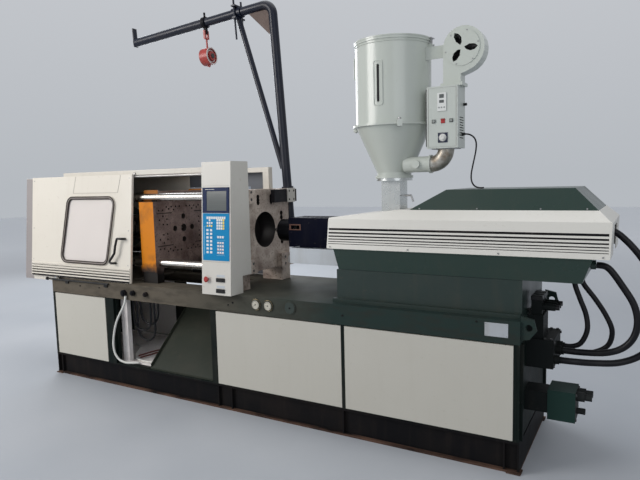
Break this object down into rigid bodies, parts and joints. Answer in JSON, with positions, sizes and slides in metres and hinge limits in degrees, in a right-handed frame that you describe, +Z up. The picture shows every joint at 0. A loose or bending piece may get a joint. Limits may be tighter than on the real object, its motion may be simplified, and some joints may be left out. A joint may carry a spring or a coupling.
{
  "type": "injection moulding machine",
  "caption": "Horizontal injection moulding machine with open mould space, sliding gates, control panel, hooded injection unit, hopper dryer with blower, and jib crane.",
  "frame": {"origin": "on the floor, on the machine's centreline, below the mould face of the stationary platen", "axes": "+X towards the injection end, -Y towards the operator, +Z up"},
  "size_m": [5.297, 1.0163, 3.2888],
  "materials": {
    "cream_paint": "light cream powder coat, worn at the edges",
    "green_paint": "dark green enamel with oil film",
    "black_paint": "black enamel, chipped",
    "crane_paint": "dark blue-black paint",
    "orange_paint": "orange safety paint on the platen sides",
    "machined_steel": "ground face with brownish oil film",
    "bright_steel": "hard chromed bars, oiled",
    "plain_steel": "plain steel",
    "cabinet_paint": "brownish light paint",
    "hopper_paint": "pale grey-green paint",
    "stained_steel": "heat-stained steel",
    "window_sheet": "clear sheet, slightly dusty",
    "keypad_film": "printed membrane",
    "red_plastic": "red moulded plastic",
    "black_plastic": "black moulded plastic",
    "white_plastic": "white moulded plastic",
    "hoist_paint": "red paint, worn",
    "hose_rubber": "black hydraulic hose"
  },
  "bodies": {
    "machine": {"skid": "black_paint", "bed_frame": "green_paint", "front_panel_left": "cream_paint", "front_panel_mid": "cream_paint", "front_panel_right": "cream_paint", "rear_panels": "cream_paint", "discharge_chute": "green_paint", "bay_tray": "cabinet_paint", "stationary_platen": "machined_steel", "tail_platen": "green_paint", "tie_bars": "bright_steel", "tie_bar_plates": "plain_steel", "clamp_cylinder": "green_paint", "guide_rods": "plain_steel", "guard_frame": "cream_paint", "control_box": "cream_paint", "keypad": "keypad_film", "pedestal": "green_paint", "crane_bracket": "black_paint", "manifold": "black_paint", "hose_a": "hose_rubber", "hose_b": "hose_rubber", "hose_c": "hose_rubber", "hose_d": "hose_rubber"},
    "gate": {"front_gate": "cream_paint", "gate_window": "window_sheet", "gate_handle": "black_plastic"},
    "back_gate": {"rear_gate": "cream_paint", "rear_window": "window_sheet"},
    "platen": {"moving_platen": "orange_paint", "clamp_ram": "bright_steel"},
    "ejector_plate": {"ejector": "plain_steel"},
    "carriage": {"carriage_tray": "green_paint", "front_shelf": "plain_steel", "hood": "cream_paint", "top_cover": "green_paint", "barrel": "plain_steel", "nozzle": "plain_steel", "heater_guard": "crane_paint", "injection_block": "plain_steel", "hopper_throat": "hopper_paint", "hopper_body": "hopper_paint", "air_elbow": "stained_steel", "dryer_box": "hopper_paint", "blower_housing": "hopper_paint"},
    "injection_drive": {"drive_plate": "plain_steel"},
    "feed_screw": {"screw": "plain_steel"},
    "lid": {"hopper_lid": "hopper_paint"},
    "latch": {"lid_latch": "plain_steel"},
    "shutoff": {"shutoff_plate": "plain_steel"},
    "fan": {"impeller": "plain_steel"},
    "dryer_front": {"dryer_door": "hopper_paint"},
    "dial": {"dryer_dial": "white_plastic"},
    "rocker": {"dryer_rocker": "red_plastic"},
    "estop": {"estop_button": "red_plastic"},
    "switch_upper": {"upper_switch": "black_plastic"},
    "switch_lower": {"lower_switch": "black_plastic"},
    "jib": {"crane_jib": "crane_paint"},
    "arm_trolley": {"trolley": "black_paint"},
    "hoist_block": {"hoist": "hoist_paint"}
  },
  "joints": [
    {"name": "front_gate_slide", "type": "slide", "parent": "machine", "child": "gate", "axis": [1, 0, 0], "range_m": [0, 0.845]},
    {"name": "rear_gate_slide", "type": "slide", "parent": "machine", "child": "back_gate", "axis": [-1, 0, 0], "range_m": [0, 0.845]},
    {"name": "platen_slide", "type": "slide", "parent": "machine", "child": "platen", "axis": [1, 0, 0], "range_m": [0, 0.43]},
    {"name": "ejector_slide", "type": "slide", "parent": "platen", "child": "ejector_plate", "axis": [1, 0, 0], "range_m": [0, 0.06]},
    {"name": "carriage_slide", "type": "slide", "parent": "machine", "child": "carriage", "axis": [-1, 0, 0], "range_m": [0, 0.26]},
    {"name": "injection_slide", "type": "slide", "parent": "carriage", "child": "injection_drive", "axis": [-1, 0, 0], "range_m": [0, 0.15]},
    {"name": "screw_spin", "type": "hinge", "parent": "injection_drive", "child": "feed_screw", "pos_m": [1.7, 0, 1.342], "axis": [1, 0, 0], "continuous": true},
    {"name": "lid_hinge", "type": "hinge", "parent": "carriage", "child": "lid", "pos_m": [1.31, 0.284, 2.637], "axis": [-1, 0, 0], "range_deg": [0, 100]},
    {"name": "lid_latch_hinge", "type": "hinge", "parent": "carriage", "child": "latch", "pos_m": [1.588, 0, 2.577], "axis": [0, 1, 0], "range_deg": [0, 120]},
    {"name": "shutoff_slide", "type": "slide", "parent": "carriage", "child": "shutoff", "axis": [1, 0, 0], "range_m": [0, 0.06]},
    {"name": "impeller_spin", "type": "hinge", "parent": "carriage", "child": "fan", "pos_m": [1.815, -0.06, 2.52], "axis": [0, 1, 0], "continuous": true},
    {"name": "dryer_door_hinge", "type": "hinge", "parent": "carriage", "child": "dryer_front", "pos_m": [1.597, -0.146, 2.09], "axis": [0, 0, -1], "range_deg": [0, 110]},
    {"name": "dial_turn", "type": "hinge", "parent": "dryer_front", "child": "dial", "pos_m": [1.706, -0.155, 1.969], "axis": [0, 1, 0], "range_deg": [-135, 135]},
    {"name": "rocker_tilt", "type": "hinge", "parent": "dryer_front", "child": "rocker", "pos_m": [1.707, -0.146, 2.073], "axis": [1, 0, 0], "range_deg": [-8, 8]},
    {"name": "estop_press", "type": "slide", "parent": "machine", "child": "estop", "axis": [0, 0.9983, -0.0584], "range_m": [0, 0.006], "stiffness_N_per_m": 900},
    {"name": "upper_switch_press", "type": "slide", "parent": "machine", "child": "switch_upper", "axis": [0, 0.9983, -0.0584], "range_m": [0, 0.004], "stiffness_N_per_m": 900},
    {"name": "lower_switch_press", "type": "slide", "parent": "machine", "child": "switch_lower", "axis": [0, 0.9983, -0.0584], "range_m": [0, 0.004], "stiffness_N_per_m": 900},
    {"name": "jib_swivel", "type": "hinge", "parent": "machine", "child": "jib", "pos_m": [0.168, 0.399, 1.6], "axis": [-0.0645, 0, 0.9979], "range_deg": [-90, 90]},
    {"name": "trolley_slide", "type": "slide", "parent": "jib", "child": "arm_trolley", "axis": [0.9979, 0, 0.0645], "range_m": [-0.8, 0.2]},
    {"name": "hoist_swing", "type": "hinge", "parent": "arm_trolley", "child": "hoist_block", "pos_m": [-0.6642, 0.399, 3.07938], "axis": [0, 1, 0], "range_deg": [-25, 25]}
  ]
}
